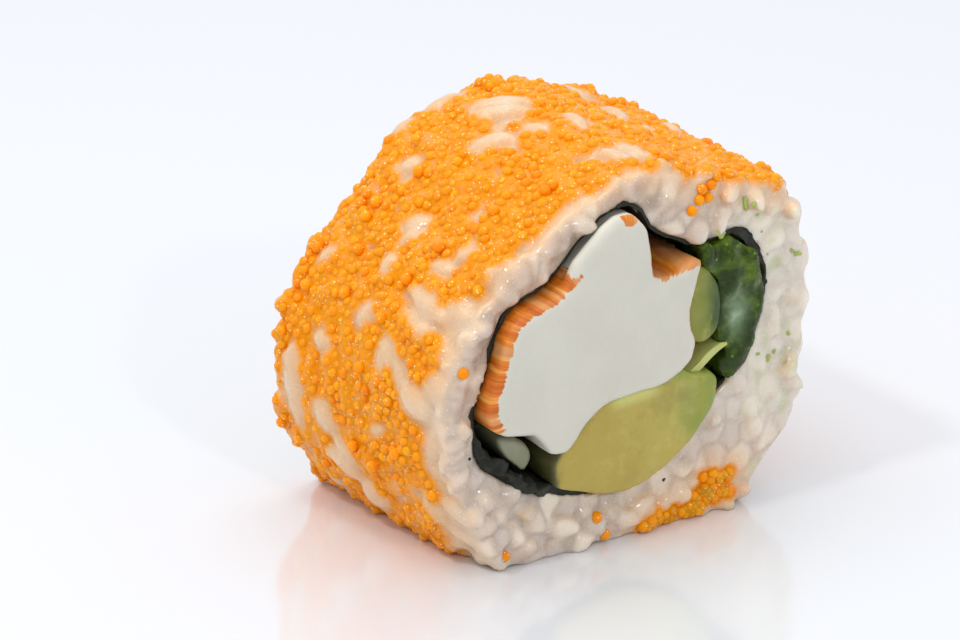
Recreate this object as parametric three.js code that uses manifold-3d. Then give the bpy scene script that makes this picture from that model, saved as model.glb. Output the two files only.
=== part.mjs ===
// One piece of an uramaki roll: a sleeve of sushi rice rolled inside out round a sheet of nori, with
// surimi, avocado and cucumber in the middle and a broken coat of capelin roe on the outside.
// Millimetres, +Z up. The roll lies on its flattened side: its axis runs along Y and the cut face that
// shows best looks along -Y. The origin is the middle of the box's underside.

import * as THREE from "three";
import { mergeVertices } from "three/addons/utils/BufferGeometryUtils.js";
import Module from "manifold-3d";

// ---- driving dimensions ----

const LENGTH = 28; // between the two knife cuts
const FRONT = -LENGTH / 2;
const BACK = LENGTH / 2;
const GAP = 0.3; // clearance that touching pieces keep
const NORI_THICKNESS = 0.45; // one damp sheet
const EGG = 0.9; // how far a layer of capelin eggs stands out
const COAT_GAP = 0.45; // clearance under the coat, where both surfaces are lumpy
const COAT_FOOT = 0.6; // the coat ends this far above the surface that the roll rests on
const COAT_END = 0.8; // and this far short of a cut
const MARGIN = 0.7; // how far inside the roll's outline the rice stays
const RELIEF = 0.32; // how far rice grains stand out of the sleeve
const EDGE_ROUND = 0.5; // how far the sleeve draws in at a cut
const DISH = 0.5; // how far a cut face sinks towards the nori

const AROUND = 56; // facets round the roll
const ALONG = 8; // facets along the roll
const HUB = new THREE.Vector2(0.5, 18); // the point that the rings are drawn round

// ---- outlines, as X and Z in a plane across the roll ----

// The roll slumps into a rounded square with a flat underside, from -FOOT to +FOOT.
const FOOT = 14.3;
const ROLL_FRONT = [
  [20.4, 5.5], [22.3, 13], [22.3, 24], [20.2, 30.4], [11.5, 33.6], [2, 35.8], [-8, 32.2], [-16.4, 26.2],
  [-20.2, 18.8], [-19.9, 10.6], [-17.6, 3.6],
];
const ROLL_BACK = [
  [20.6, 5.5], [22.4, 13.5], [22.5, 25], [20, 31.6], [12.4, 35.2], [3.4, 37], [-6, 34.6], [-12.4, 28.4],
  [-18.6, 21], [-21, 13.6], [-20, 5.6],
];
// The nori follows the filling, with a peak over the surimi's fin and a lobe round the cucumber.
const NORI = [
  [15.2, 17], [16.3, 22], [14.6, 25.6], [12, 27.4], [8.6, 26.9], [5.4, 28.1], [3, 29.6], [1.4, 32],
  [-1.7, 32.1], [-4.8, 29.8], [-8.4, 26.5], [-12.8, 24.9], [-14.8, 21], [-16.3, 16.4], [-16, 13],
  [-12.2, 9.2], [-6, 6.2], [-0.2, 5], [5.8, 7.2], [10.4, 11.6], [13.8, 14],
];
// The surimi stick is a folded sheet: a fin stands up from it, and its own edge leaves a notch.
const SURIMI = [
  [-1.1, 31.3], [1, 31.1], [1.7, 28.4], [2.5, 25.1], [5.2, 25.3], [7.7, 26.4], [6.9, 23.4], [6.3, 20.6],
  [7.2, 17.7], [4.8, 15.4], [-3.6, 14.4], [-8.2, 10.6], [-10.6, 13.4], [-13.4, 13.8], [-15.7, 15.3],
  [-14.4, 20.4], [-13, 24], [-8, 25.9], [-4.8, 28.6],
];

// The fillings, in the order that they claim room inside the nori. Each is its outline, how far it
// stands out of the front cut and the back cut, the facets round it and its rim's rounding.
const FILLINGS = [
  { name: "surimi", outline: SURIMI, front: 1.5, back: 0.9, facets: 46, round: 0.35, colour: 0xe6e2d6 },
  {
    name: "avocado_curl",
    outline: [[6.6, 15.5], [9, 14.9], [11.6, 15.5], [11.3, 16.8], [8.2, 17.1]],
    front: 1.3, back: 0.2, facets: 14, round: 0.2, colour: 0xc8cc78,
  },
  {
    name: "avocado",
    outline: [
      [-3.9, 15], [6, 15.6], [9.9, 14.4], [9.6, 11], [6, 7.6], [0, 4.6], [-6.2, 5.6], [-8.6, 8.8],
      [-6.8, 11.6],
    ],
    front: 1.1, back: 0.5, facets: 26, round: 0.35, colour: 0xc0b45a,
  },
  {
    name: "avocado_side",
    outline: [[8.2, 25], [6.8, 21], [7.8, 17.8], [9.9, 18], [10.8, 21], [9.8, 24]],
    front: 0.4, back: 0.2, facets: 16, round: 0.25, colour: 0x96a046,
  },
  {
    name: "cucumber",
    outline: [
      [8.6, 27], [12, 28.2], [16.6, 25.4], [17, 21], [15.2, 15], [12.8, 12.2], [11, 15], [10.8, 19], [10, 23],
    ],
    front: 0.3, back: 0.3, facets: 28, round: 0.35, colour: 0x3f6420,
  },
  {
    name: "cucumber_offcut",
    outline: [[-15.6, 13.6], [-12.2, 13], [-9.6, 10.8], [-11.2, 8.6], [-14.4, 11.2]],
    front: -1.2, back: -0.8, facets: 16, round: 0.25, colour: 0xd2d8bc,
  },
];

// Where the nori is doubled or stands up in a fold: the angle round the hub in degrees, how many
// degrees it spreads over, and the thickness that it adds.
const NORI_FOLDS = [
  [36, 14, 0.7], [92, 5, 0.3], [167, 4, 0.7], [187, 4, 0.9], [204, 9, 0.9], [221, 10, 0.8], [240, 6, 0.4],
];

// Bare patches in the roe coat, where rice shows: the angle round the hub in degrees, the place along
// the roll, the half sizes round and along it, and how far the patch is turned in the surface.
const BARE_LEFT = [
  // on the top
  [91, 5.5, 3.6, 2.3, 40], [105, 0.7, 2.8, 1.7, 44], [93, -2, 1.7, 1.4, 60], [78, 0.3, 2.3, 1.7, 90],
  [67, 4, 2.6, 1.9, 70], [84, -10.6, 3.4, 2.4, 0],
  // on the shoulder and the flank
  [123, 11.4, 3.6, 1.4, 15], [143, 0.5, 2.7, 1.5, 0], [158, -10.4, 2.4, 4.6, -10], [172, -5.4, 4.6, 2.2, -67],
  [176, -12, 4.6, 1.9, -40], [195, 8.3, 3.7, 2, -8], [201, 1.9, 4.8, 2.1, -39], [217, -3.3, 1.7, 1.4, -24],
];
// Along the front cut the rice shows too, in a strip that widens on the flank that faces right.
const BARE_RIM = [
  [122, -14.2, 6, 1.6, 0], [212, -13.8, 9, 3.4, 0], [-30, -12.6, 9, 3.6, 0], [14, -12.6, 9, 3.2, 0],
];
// The rest of that flank has patches about as often as the others, spread evenly.
const BARE_RIGHT = { count: 5, from: -24, to: 50, halfRound: 3.2, halfAlong: 2.2 };
const GOLDEN = (1 + Math.sqrt(5)) / 2;
const PATCH_DEPTH = 2.6; // half the depth of the cutter that opens a patch

// ---- curves ----

function spacedPoints(outline, count) {
  const points = outline.map(([x, z]) => new THREE.Vector3(x, z, 0));
  const curve = new THREE.CatmullRomCurve3(points, true, "centripetal");
  return curve.getSpacedPoints(count).slice(0, -1).map((p) => new THREE.Vector2(p.x, p.y));
}

function rollPath(outline) {
  const points = outline.map(([x, z]) => new THREE.Vector2(x, z));
  const path = new THREE.Path();
  path.moveTo(-FOOT, 0);
  path.lineTo(FOOT, 0);
  path.splineThru([...points, new THREE.Vector2(-FOOT, 0)]);
  return path;
}

// Where a ray from the hub at this angle leaves a closed polyline.
function crossing(polyline, angle) {
  const ray = new THREE.Vector2(Math.cos(angle), Math.sin(angle));
  let reach = 0;
  polyline.forEach((corner, i) => {
    const a = corner.clone().sub(HUB);
    const side = polyline[(i + 1) % polyline.length].clone().sub(HUB).sub(a);
    const turn = ray.cross(side);
    if (Math.abs(turn) < 1e-9) return;
    const along = a.cross(ray) / turn;
    const distance = a.cross(side) / turn;
    if (along >= 0 && along <= 1 && distance > reach) reach = distance;
  });
  return reach;
}

const FINE = 400;
const angles = Array.from({ length: AROUND }, (_, i) => (2 * Math.PI * i) / AROUND);

function reaches(polyline) {
  return angles.map((angle) => crossing(polyline, angle));
}

const rollFront = reaches(rollPath(ROLL_FRONT).getSpacedPoints(FINE));
const rollBack = reaches(rollPath(ROLL_BACK).getSpacedPoints(FINE));
const noriInside = reaches(spacedPoints(NORI, FINE));

function noriThickness(i) {
  const degrees = THREE.MathUtils.radToDeg(angles[i]);
  const folds = NORI_FOLDS.map(([at, spread, height]) => height * Math.exp(-(((degrees - at) / spread) ** 2)));
  return folds.reduce((sum, height) => sum + height, NORI_THICKNESS);
}

// ---- the roll's own unevenness ----

// The filling wanders a little as it runs through the roll.
function wander(y) {
  return new THREE.Vector2(0.5 * Math.sin((y - FRONT) / 9), 0.35 * Math.sin((y - FRONT) / 7));
}

// Lumps about as long as a grain of rice, from -1 to 1.
function lumps(x, y, z) {
  const across = Math.sin(1.15 * x + 0.5 * y) * Math.sin(1.05 * z - 0.35 * y + 1);
  const length = Math.sin(0.95 * y + 0.6 * z - 0.4 * x);
  return 0.6 * across + 0.4 * length;
}

function onRay(i, reach, y) {
  const x = HUB.x + Math.cos(angles[i]) * reach;
  const z = HUB.y + Math.sin(angles[i]) * reach;
  return new THREE.Vector3(x, y, z);
}

// The sleeve's surface, which stays plain near the foot so that the foot is flat.
function sleevePoint(i, y, proud) {
  const plain = THREE.MathUtils.lerp(rollFront[i], rollBack[i], (y - FRONT) / LENGTH);
  const point = onRay(i, plain, y);
  const nearCut = THREE.MathUtils.smoothstep(Math.abs(y), BACK - 3, BACK);
  const free = THREE.MathUtils.smoothstep(point.z, 0, 3);
  const drawn = MARGIN + EDGE_ROUND * nearCut - RELIEF * lumps(point.x, y, point.z);
  return onRay(i, plain - free * drawn + proud, y);
}

function fillingPoint(i, y, proud) {
  const shift = wander(y);
  const point = onRay(i, noriInside[i] + proud, y);
  return point.add(new THREE.Vector3(shift.x, 0, shift.y));
}

// ---- solids ----

// A closed ring from loops of AROUND points, each joined to the next and the last to the first.
function ringGeometry(loops) {
  const position = loops.flat().flatMap((p) => [p.x, p.y, p.z]);
  const index = [];
  loops.forEach((_, row) => {
    const next = (row + 1) % loops.length;
    for (let i = 0; i < AROUND; i++) {
      const j = (i + 1) % AROUND;
      const [a, b] = [row * AROUND + i, row * AROUND + j];
      const [c, d] = [next * AROUND + i, next * AROUND + j];
      index.push(a, c, b, b, c, d);
    }
  });
  const geometry = new THREE.BufferGeometry();
  geometry.setAttribute("position", new THREE.Float32BufferAttribute(position, 3));
  geometry.setIndex(index);
  return geometry;
}

function loop(point) {
  return angles.map((_, i) => point(i));
}

function stations(from, to, count) {
  return Array.from({ length: count + 1 }, (_, k) => THREE.MathUtils.lerp(from, to, k / count));
}

// A cut face, between the sleeve's rim and its bore.
function faceLoops(y, shares) {
  return shares.map((share) =>
    loop((i) => {
      const rim = sleevePoint(i, y, 0);
      const bore = fillingPoint(i, y, noriThickness(i) + GAP);
      const point = rim.lerp(bore, share);
      const uneven = RELIEF * lumps(point.z, point.x, share * 4);
      point.y += Math.sign(y) * (uneven - DISH * share * share);
      return point;
    }),
  );
}

const FILLING_STEPS = 4; // facets along the bore, the nori and each filling
const PAST_CUTS = { front: 4, back: 4 }; // how far a cutting body reaches past both cuts
function riceGeometry() {
  const sleeve = stations(FRONT, BACK, ALONG).map((y) => loop((i) => sleevePoint(i, y, 0)));
  const bore = stations(BACK - DISH, FRONT + DISH, FILLING_STEPS).map((y) =>
    loop((i) => fillingPoint(i, y, noriThickness(i) + GAP)),
  );
  const [backCut, frontCut] = [faceLoops(BACK, [0.33, 0.66]), faceLoops(FRONT, [0.66, 0.33])];
  return ringGeometry([...sleeve, ...backCut, ...bore, ...frontCut]);
}

// The nori's cut edges are ragged.
function noriGeometry() {
  const ends = stations(FRONT, BACK, FILLING_STEPS);
  const ragged = (i, y) => (Math.abs(y) === BACK ? y * (0.985 + 0.012 * Math.sin(5 * angles[i])) : y);
  const outside = ends.map((y) => loop((i) => fillingPoint(i, ragged(i, y), noriThickness(i))));
  const inside = ends.map((y) => loop((i) => fillingPoint(i, ragged(i, y), 0)));
  return ringGeometry([...outside, ...inside.reverse()]);
}

const wasm = await Module();
wasm.setup();

function solidFrom(geometry) {
  const bare = geometry.clone();
  bare.deleteAttribute("normal");
  bare.deleteAttribute("uv");
  const merged = mergeVertices(bare, 1e-4);
  const vertProperties = merged.attributes.position.array;
  const triVerts = new Uint32Array(merged.index.array);
  return new wasm.Manifold(new wasm.Mesh({ numProp: 3, vertProperties, triVerts }));
}

function largestOf(solid) {
  const [largest] = solid.decompose().sort((a, b) => b.volume() - a.volume());
  return largest;
}

function geometryFrom(solid) {
  const mesh = solid.getMesh();
  const geometry = new THREE.BufferGeometry();
  geometry.setAttribute("position", new THREE.BufferAttribute(mesh.vertProperties, 3));
  geometry.setIndex(new THREE.BufferAttribute(mesh.triVerts, 1));
  return geometry;
}

// An ellipsoid that opens one bare patch, lying in the sleeve's surface.
function patchCutter([degrees, y, halfRound, halfAlong, turn]) {
  const i = Math.round(((degrees + 360) / 360) * AROUND) % AROUND;
  const middle = COAT_GAP + EGG / 2;
  const ahead = sleevePoint((i + 1) % AROUND, y, middle);
  const behind = sleevePoint((i + AROUND - 1) % AROUND, y, middle);
  const along = new THREE.Vector3(0, 1, 0);
  const out = new THREE.Vector3().crossVectors(ahead.sub(behind), along).normalize();
  const round = new THREE.Vector3().crossVectors(along, out);
  const place = new THREE.Matrix4().makeBasis(round, along, out).setPosition(sleevePoint(i, y, middle));
  const spin = new THREE.Matrix4().makeRotationZ(THREE.MathUtils.degToRad(turn));
  const size = new THREE.Matrix4().makeScale(halfRound, halfAlong, PATCH_DEPTH);
  return new THREE.SphereGeometry(1, 8, 5).applyMatrix4(place.multiply(spin).multiply(size));
}

function barePatches() {
  const { count, from, to, halfRound, halfAlong } = BARE_RIGHT;
  const right = stations(from, to, count - 1).map((degrees, k) => {
    const share = (k * GOLDEN) % 1;
    const y = THREE.MathUtils.lerp(FRONT + 4, BACK - 4, share);
    return [degrees, y, halfRound * (0.8 + 0.4 * share), halfAlong, 60 * share];
  });
  return [...BARE_LEFT, ...BARE_RIM, ...right];
}

function roeGeometry() {
  const between = stations(FRONT, BACK, ALONG).slice(1, -1);
  const ends = [FRONT + COAT_END, ...between, BACK - COAT_END];
  const outside = ends.map((y) => loop((i) => sleevePoint(i, y, COAT_GAP + EGG)));
  const inside = ends.map((y) => loop((i) => sleevePoint(i, y, COAT_GAP)));
  const under = new THREE.BoxGeometry(3 * FOOT, 2 * LENGTH, 10).translate(0, 0, COAT_FOOT - 5);
  let coat = solidFrom(ringGeometry([...outside, ...inside.reverse()])).subtract(solidFrom(under));
  for (const patch of barePatches()) {
    coat = coat.subtract(solidFrom(patchCutter(patch)));
  }
  return geometryFrom(largestOf(coat));
}

// An outline swept along the roll, following the wander. Its sides may stand out by grown, and its
// rims may be rounded.
function sweep(outline, { front, back, round = 0, grown = 0 }) {
  const geometry = new THREE.ExtrudeGeometry(new THREE.Shape(outline), {
    depth: LENGTH + front + back - 2 * round,
    steps: FILLING_STEPS,
    bevelThickness: round,
    bevelSize: round + grown,
    bevelOffset: -round,
    bevelSegments: round ? 1 : 0,
  });
  geometry.rotateX(Math.PI / 2);
  geometry.translate(0, BACK + back - round, 0);
  const position = geometry.attributes.position;
  for (let i = 0; i < position.count; i++) {
    const shift = wander(position.getY(i));
    position.setX(i, position.getX(i) + shift.x);
    position.setZ(i, position.getZ(i) + shift.y);
  }
  return solidFrom(geometry);
}

// The fillings claim room in turn: each keeps the part of its outline that those before it leave free.
function fillingSolids() {
  const bore = angles.map((_, i) => {
    const point = onRay(i, noriInside[i], 0);
    return new THREE.Vector2(point.x, point.z);
  });
  const room = sweep(bore, { ...PAST_CUTS, grown: -GAP });
  const taken = [];
  return FILLINGS.map((filling) => {
    const outline = spacedPoints(filling.outline, filling.facets);
    let solid = sweep(outline, filling).intersect(room);
    for (const other of taken) {
      solid = solid.subtract(other);
    }
    taken.push(sweep(outline, { ...PAST_CUTS, grown: GAP }));
    return { ...filling, geometry: geometryFrom(largestOf(solid)) };
  });
}

// ---- the roll ----

function piece(name, geometry, colour, roughness) {
  const material = new THREE.MeshStandardMaterial({ color: colour, roughness, metalness: 0 });
  const mesh = new THREE.Mesh(geometry, material);
  mesh.name = name;
  return mesh;
}

const roll = new THREE.Group();
roll.add(piece("rice", riceGeometry(), 0xe8dccb, 0.35));
roll.add(piece("roe_coat", roeGeometry(), 0xf6a020, 0.2));
roll.add(piece("nori", noriGeometry(), 0x1c2118, 0.45));

for (const { name, geometry, colour } of fillingSolids()) {
  roll.add(piece(name, geometry, colour, 0.4));
}

// The outlines are drawn round the filling, so the whole is moved to stand on its own origin.
const box = new THREE.Box3().setFromObject(roll);
const middle = box.getCenter(new THREE.Vector3());
roll.position.set(-middle.x, -middle.y, -box.min.z);

export default roll;
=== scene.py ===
"""Looks of one uramaki piece: sticky rice grains, capelin roe, nori, surimi, avocado and cucumber.

Lengths below are millimetres in the part's own frame (+Z up, the roll's axis along Y, the cut face that
shows best looking along -Y) and turn into metres where a mesh is made. Only the lights and the camera
are placed in metres.
"""

import math

import bmesh
import bpy
import numpy as np
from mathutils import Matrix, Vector, noise
from mathutils.bvhtree import BVHTree
from mathutils.kdtree import KDTree


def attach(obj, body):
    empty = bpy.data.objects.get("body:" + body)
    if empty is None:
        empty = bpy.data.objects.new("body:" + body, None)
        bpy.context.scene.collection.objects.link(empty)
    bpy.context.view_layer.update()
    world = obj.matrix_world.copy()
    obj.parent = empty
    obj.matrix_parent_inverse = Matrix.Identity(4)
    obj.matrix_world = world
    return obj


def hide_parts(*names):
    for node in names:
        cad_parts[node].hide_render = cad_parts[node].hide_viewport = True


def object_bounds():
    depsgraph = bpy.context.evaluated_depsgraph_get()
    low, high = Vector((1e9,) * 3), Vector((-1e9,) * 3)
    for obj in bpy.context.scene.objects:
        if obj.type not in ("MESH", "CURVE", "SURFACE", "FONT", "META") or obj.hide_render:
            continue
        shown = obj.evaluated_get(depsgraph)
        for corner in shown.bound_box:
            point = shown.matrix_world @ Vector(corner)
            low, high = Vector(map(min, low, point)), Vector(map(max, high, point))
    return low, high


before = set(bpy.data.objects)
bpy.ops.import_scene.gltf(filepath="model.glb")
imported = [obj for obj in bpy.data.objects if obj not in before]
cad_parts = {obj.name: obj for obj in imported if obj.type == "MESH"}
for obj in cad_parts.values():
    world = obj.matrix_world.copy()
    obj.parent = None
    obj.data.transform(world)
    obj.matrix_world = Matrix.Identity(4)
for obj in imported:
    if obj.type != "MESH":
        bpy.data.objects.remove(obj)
cad_low, cad_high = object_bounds()

MM = 0.001
HUB = np.array([-0.45, 0.0, 18.0])  # the middle of the ring of nori
FRONT, BACK = -13.7, 14.3  # the two cuts
MIDWAY = (FRONT + BACK) / 2
LOWEST = 0.02  # how far above the floor the rice stays
EGG = 1.1  # diameter of one egg
TO_FRONT = np.array([0.0, -1.0, 0.0])
rng = np.random.default_rng(11)


# ---- mesh helpers ----


def arrays(node):
    """Welded vertices in millimetres and triangles of a mesh object."""
    mesh = node.data
    mesh.calc_loop_triangles()
    co = np.zeros(len(mesh.vertices) * 3)
    mesh.vertices.foreach_get("co", co)
    tris = np.zeros(len(mesh.loop_triangles) * 3, np.int32)
    mesh.loop_triangles.foreach_get("vertices", tris)
    co = co.reshape(-1, 3) / MM
    _, first, inverse = np.unique(np.round(co, 4), axis=0, return_index=True, return_inverse=True)
    tris = inverse.reshape(-1)[tris.reshape(-1, 3)]
    return co[first], tris


def face_normals(co, tris):
    a, b, c = co[tris[:, 0]], co[tris[:, 1]], co[tris[:, 2]]
    return np.cross(b - a, c - a)


def unit(v):
    return v / np.maximum(np.linalg.norm(v, axis=-1, keepdims=True), 1e-12)


def vertex_normals(co, tris):
    normals = np.zeros_like(co)
    flat = face_normals(co, tris)
    for k in range(3):
        np.add.at(normals, tris[:, k], flat)
    return unit(normals)


def make(name, co, faces):
    """A smooth-shaded object from millimetre vertices and an array of triangles or quads."""
    mesh = bpy.data.meshes.new(name)
    faces = np.asarray(faces, np.int32)
    corners = faces.shape[1]
    mesh.vertices.add(len(co))
    mesh.vertices.foreach_set("co", (np.asarray(co) * MM).astype(np.float32).ravel())
    mesh.loops.add(faces.size)
    mesh.loops.foreach_set("vertex_index", faces.ravel())
    mesh.polygons.add(len(faces))
    mesh.polygons.foreach_set("loop_start", np.arange(0, faces.size, corners, dtype=np.int32))
    mesh.update(calc_edges=True)
    mesh.validate()
    mesh.shade_smooth()
    thing = bpy.data.objects.new(name, mesh)
    bpy.context.scene.collection.objects.link(thing)
    return thing


def applied(thing):
    """The same object with its modifiers applied."""
    bpy.context.view_layer.update()
    graph = bpy.context.evaluated_depsgraph_get()
    mesh = bpy.data.meshes.new_from_object(thing.evaluated_get(graph))
    thing.modifiers.clear()
    thing.data = mesh
    mesh.shade_smooth()
    return thing


def fused(thing, voxel, rounds):
    """Melts a piece's overlapping bodies into one skin and smooths it for some rounds."""
    melt = thing.modifiers.new("melt", "REMESH")
    melt.mode = "VOXEL"
    melt.voxel_size = voxel * MM
    melt.use_smooth_shade = True
    soften = thing.modifiers.new("soften", "SMOOTH")
    soften.factor = 0.5
    soften.iterations = rounds
    return applied(thing)


def vertices_of(thing):
    co = np.zeros(len(thing.data.vertices) * 3)
    thing.data.vertices.foreach_get("co", co)
    return co.reshape(-1, 3) / MM


def normals_of(thing):
    n = np.zeros(len(thing.data.vertices) * 3)
    thing.data.vertices.foreach_get("normal", n)
    return n.reshape(-1, 3)


def move_to(thing, co):
    thing.data.vertices.foreach_set("co", (co * MM).astype(np.float32).ravel())
    thing.data.update()


def paint(thing, name, values):
    """A value for each vertex, for materials to read."""
    layer = thing.data.attributes.new(name, "FLOAT", "POINT")
    layer.data.foreach_set("value", np.asarray(values, np.float32).ravel())


def cloudy(co, scale, seed=0.0):
    """Smooth noise at each point, about -1 to 1, with lumps about scale millimetres across."""
    offset = Vector((seed * 17.3, seed * 5.1, seed * 9.7))
    return np.array([noise.noise(Vector(p) / scale + offset) for p in co])


def smoothstep(x, low, high):
    t = np.clip((x - low) / (high - low), 0, 1)
    return t * t * (3 - 2 * t)


def ball(rounds):
    """Vertices and triangles of a unit ball."""
    made = bmesh.new()
    bmesh.ops.create_icosphere(made, subdivisions=rounds, radius=1)
    co = np.array([v.co for v in made.verts])
    tris = np.array([[v.index for v in f.verts] for f in made.faces], np.int32)
    made.free()
    return co, tris


def copies(template, places):
    """One array of vertices and faces for many placed copies. Each place is a 3x3 matrix and a point."""
    co, tris = template
    all_co = np.concatenate([co @ m.T + p for m, p in places])
    step = np.arange(len(places))[:, None, None] * len(co)
    return all_co, (tris[None] + step).reshape(-1, tris.shape[1])


def scatter(co, tris, spacing, tries, allowed=None):
    """Points spread over a surface at least spacing apart: (points, normals)."""
    flat = face_normals(co, tris)
    area = np.linalg.norm(flat, axis=1)
    pick = rng.choice(len(tris), tries, p=area / area.sum())
    u, v = rng.random(tries), rng.random(tries)
    over = u + v > 1
    u[over], v[over] = 1 - u[over], 1 - v[over]
    a, b, c = co[tris[pick, 0]], co[tris[pick, 1]], co[tris[pick, 2]]
    points = a + (b - a) * u[:, None] + (c - a) * v[:, None]
    smooth = vertex_normals(co, tris)
    na, nb, nc = smooth[tris[pick, 0]], smooth[tris[pick, 1]], smooth[tris[pick, 2]]
    normals = unit(na + (nb - na) * u[:, None] + (nc - na) * v[:, None])
    if allowed is not None:
        keep = allowed(points, normals)
        points, normals = points[keep], normals[keep]
    kept, grid = [], {}
    for i, p in enumerate(points):
        cell = tuple(np.floor(p / spacing).astype(int))
        near = (
            grid.get((cell[0] + x, cell[1] + y, cell[2] + z), ())
            for x in (-1, 0, 1)
            for y in (-1, 0, 1)
            for z in (-1, 0, 1)
        )
        if all(np.sum((points[j] - p) ** 2) >= spacing * spacing for cells in near for j in cells):
            kept.append(i)
            grid.setdefault(cell, []).append(i)
    return points[kept], normals[kept]


def tree(co, tris):
    return BVHTree.FromPolygons([Vector(p) for p in co], tris.tolist())


def front_hit(body, x, z):
    """Where a line that comes from the front first meets a tree of faces, or None."""
    place = body.ray_cast(Vector((x, -30, z)), Vector((0, 1, 0)))[0]
    return None if place is None else np.array(place)


def nearest_tree(spots):
    near = KDTree(len(spots))
    for i, p in enumerate(spots):
        near.insert(p, i)
    near.balance()
    return near


def distances(co, spots):
    """How far each point is from the nearest spot."""
    near = nearest_tree(spots)
    return np.array([near.find(p)[2] for p in co])


def two_nearest(co, spots):
    """Each point's distances to its nearest and second nearest spot, and which spot is nearest."""
    near = nearest_tree(spots)
    found = [near.find_n(p, 2) for p in co]
    first = np.array([f[0][2] for f in found])
    second = np.array([f[1][2] for f in found])
    return first, second, np.array([f[0][1] for f in found])


def frame_of(normal, turn, lean):
    """Axes of a grain lying on a surface: long, across and up."""
    helper = np.array([0.0, 1.0, 0.0]) if abs(normal[1]) < 0.9 else np.array([1.0, 0.0, 0.0])
    first = unit(np.cross(helper, normal))
    second = np.cross(normal, first)
    long = math.cos(turn) * first + math.sin(turn) * second
    long = unit(long * math.cos(lean) + normal * math.sin(lean))
    across = unit(np.cross(normal, long))
    return np.stack([long, across, np.cross(long, across)], 1)


def outwards(points):
    """The direction from the roll's axis, at each point."""
    away = points - HUB
    away[:, 1] = 0
    return unit(away)


# ---- materials ----


class Material:
    """A small wrapper for building a Principled material from nodes."""

    def __init__(self, name, **settings):
        self.data = bpy.data.materials.new(name)
        self.data.use_nodes = True
        self.nodes = self.data.node_tree.nodes
        self.links = self.data.node_tree.links
        self.shader = self.nodes["Principled BSDF"]
        for key, value in settings.items():
            self.shader.inputs[key.replace("_", " ")].default_value = value
        self.place = self.nodes.new("ShaderNodeTexCoord").outputs["Object"]

    def link(self, value, socket):
        if isinstance(value, bpy.types.NodeSocket):
            self.links.new(value, socket)
        else:
            socket.default_value = value

    def attribute(self, name):
        node = self.nodes.new("ShaderNodeAttribute")
        node.attribute_name = name
        return node.outputs["Fac"]

    def noise(self, scale, detail=3.0, roughness=0.55, place=None, stretch=None, distortion=0.0):
        """Noise whose lumps are about 1/scale metres across."""
        node = self.nodes.new("ShaderNodeTexNoise")
        node.inputs["Scale"].default_value = scale
        node.inputs["Detail"].default_value = detail
        node.inputs["Roughness"].default_value = roughness
        node.inputs["Distortion"].default_value = distortion
        source = place or self.place
        if stretch:
            mapping = self.nodes.new("ShaderNodeMapping")
            mapping.inputs["Scale"].default_value = stretch
            self.links.new(source, mapping.inputs["Vector"])
            source = mapping.outputs["Vector"]
        self.links.new(source, node.inputs["Vector"])
        return node.outputs["Fac"]

    def cells(self, scale):
        """Distance from points that lie about 1/scale metres apart."""
        node = self.nodes.new("ShaderNodeTexVoronoi")
        node.inputs["Scale"].default_value = scale
        self.links.new(self.place, node.inputs["Vector"])
        return node.outputs["Distance"]

    def sparkles(self, scale, size):
        """1 in tiny dots about 1/scale metres apart, 0 between them, a mask for painted glints."""
        return self.range(self.cells(scale), 0.4 * size, size, 1.0, 0.0)

    def ramp(self, value, *stops):
        """Colours along a value: (at, colour) pairs."""
        node = self.nodes.new("ShaderNodeValToRGB")
        band = node.color_ramp
        while len(band.elements) < len(stops):
            band.elements.new(0.5)
        for element, (at, colour) in zip(band.elements, stops):
            element.position = at
            element.color = (*colour, 1)
        self.link(value, node.inputs["Fac"])
        return node.outputs["Color"]

    def mix(self, share, a, b):
        """Colour a where share is 0, b where it is 1."""
        node = self.nodes.new("ShaderNodeMix")
        node.data_type = "RGBA"
        self.link(share, node.inputs[0])
        for value, socket in ((a, node.inputs[6]), (b, node.inputs[7])):
            self.link((*value, 1) if isinstance(value, tuple) else value, socket)
        return node.outputs[2]

    def math(self, what, a, b):
        node = self.nodes.new("ShaderNodeMath")
        node.operation = what
        self.link(a, node.inputs[0])
        self.link(b, node.inputs[1])
        return node.outputs[0]

    def range(self, value, low, high, to_low=0.0, to_high=1.0):
        """A value from low to high turned smoothly into one from to_low to to_high."""
        node = self.nodes.new("ShaderNodeMapRange")
        node.interpolation_type = "SMOOTHSTEP"
        for socket, number in zip(node.inputs[1:5], (low, high, to_low, to_high)):
            socket.default_value = number
        self.link(value, node.inputs[0])
        return node.outputs[0]

    def axis(self, which):
        node = self.nodes.new("ShaderNodeSeparateXYZ")
        self.links.new(self.place, node.inputs[0])
        return node.outputs[which]

    def bump(self, height, distance, strength=1.0, over=None):
        node = self.nodes.new("ShaderNodeBump")
        node.inputs["Strength"].default_value = strength
        node.inputs["Distance"].default_value = distance * MM
        self.link(height, node.inputs["Height"])
        if over:
            self.links.new(over, node.inputs["Normal"])
        return node.outputs["Normal"]

    def set(self, **sockets):
        for key, value in sockets.items():
            self.link(value, self.shader.inputs[key.replace("_", " ")])
        return self.data


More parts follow.
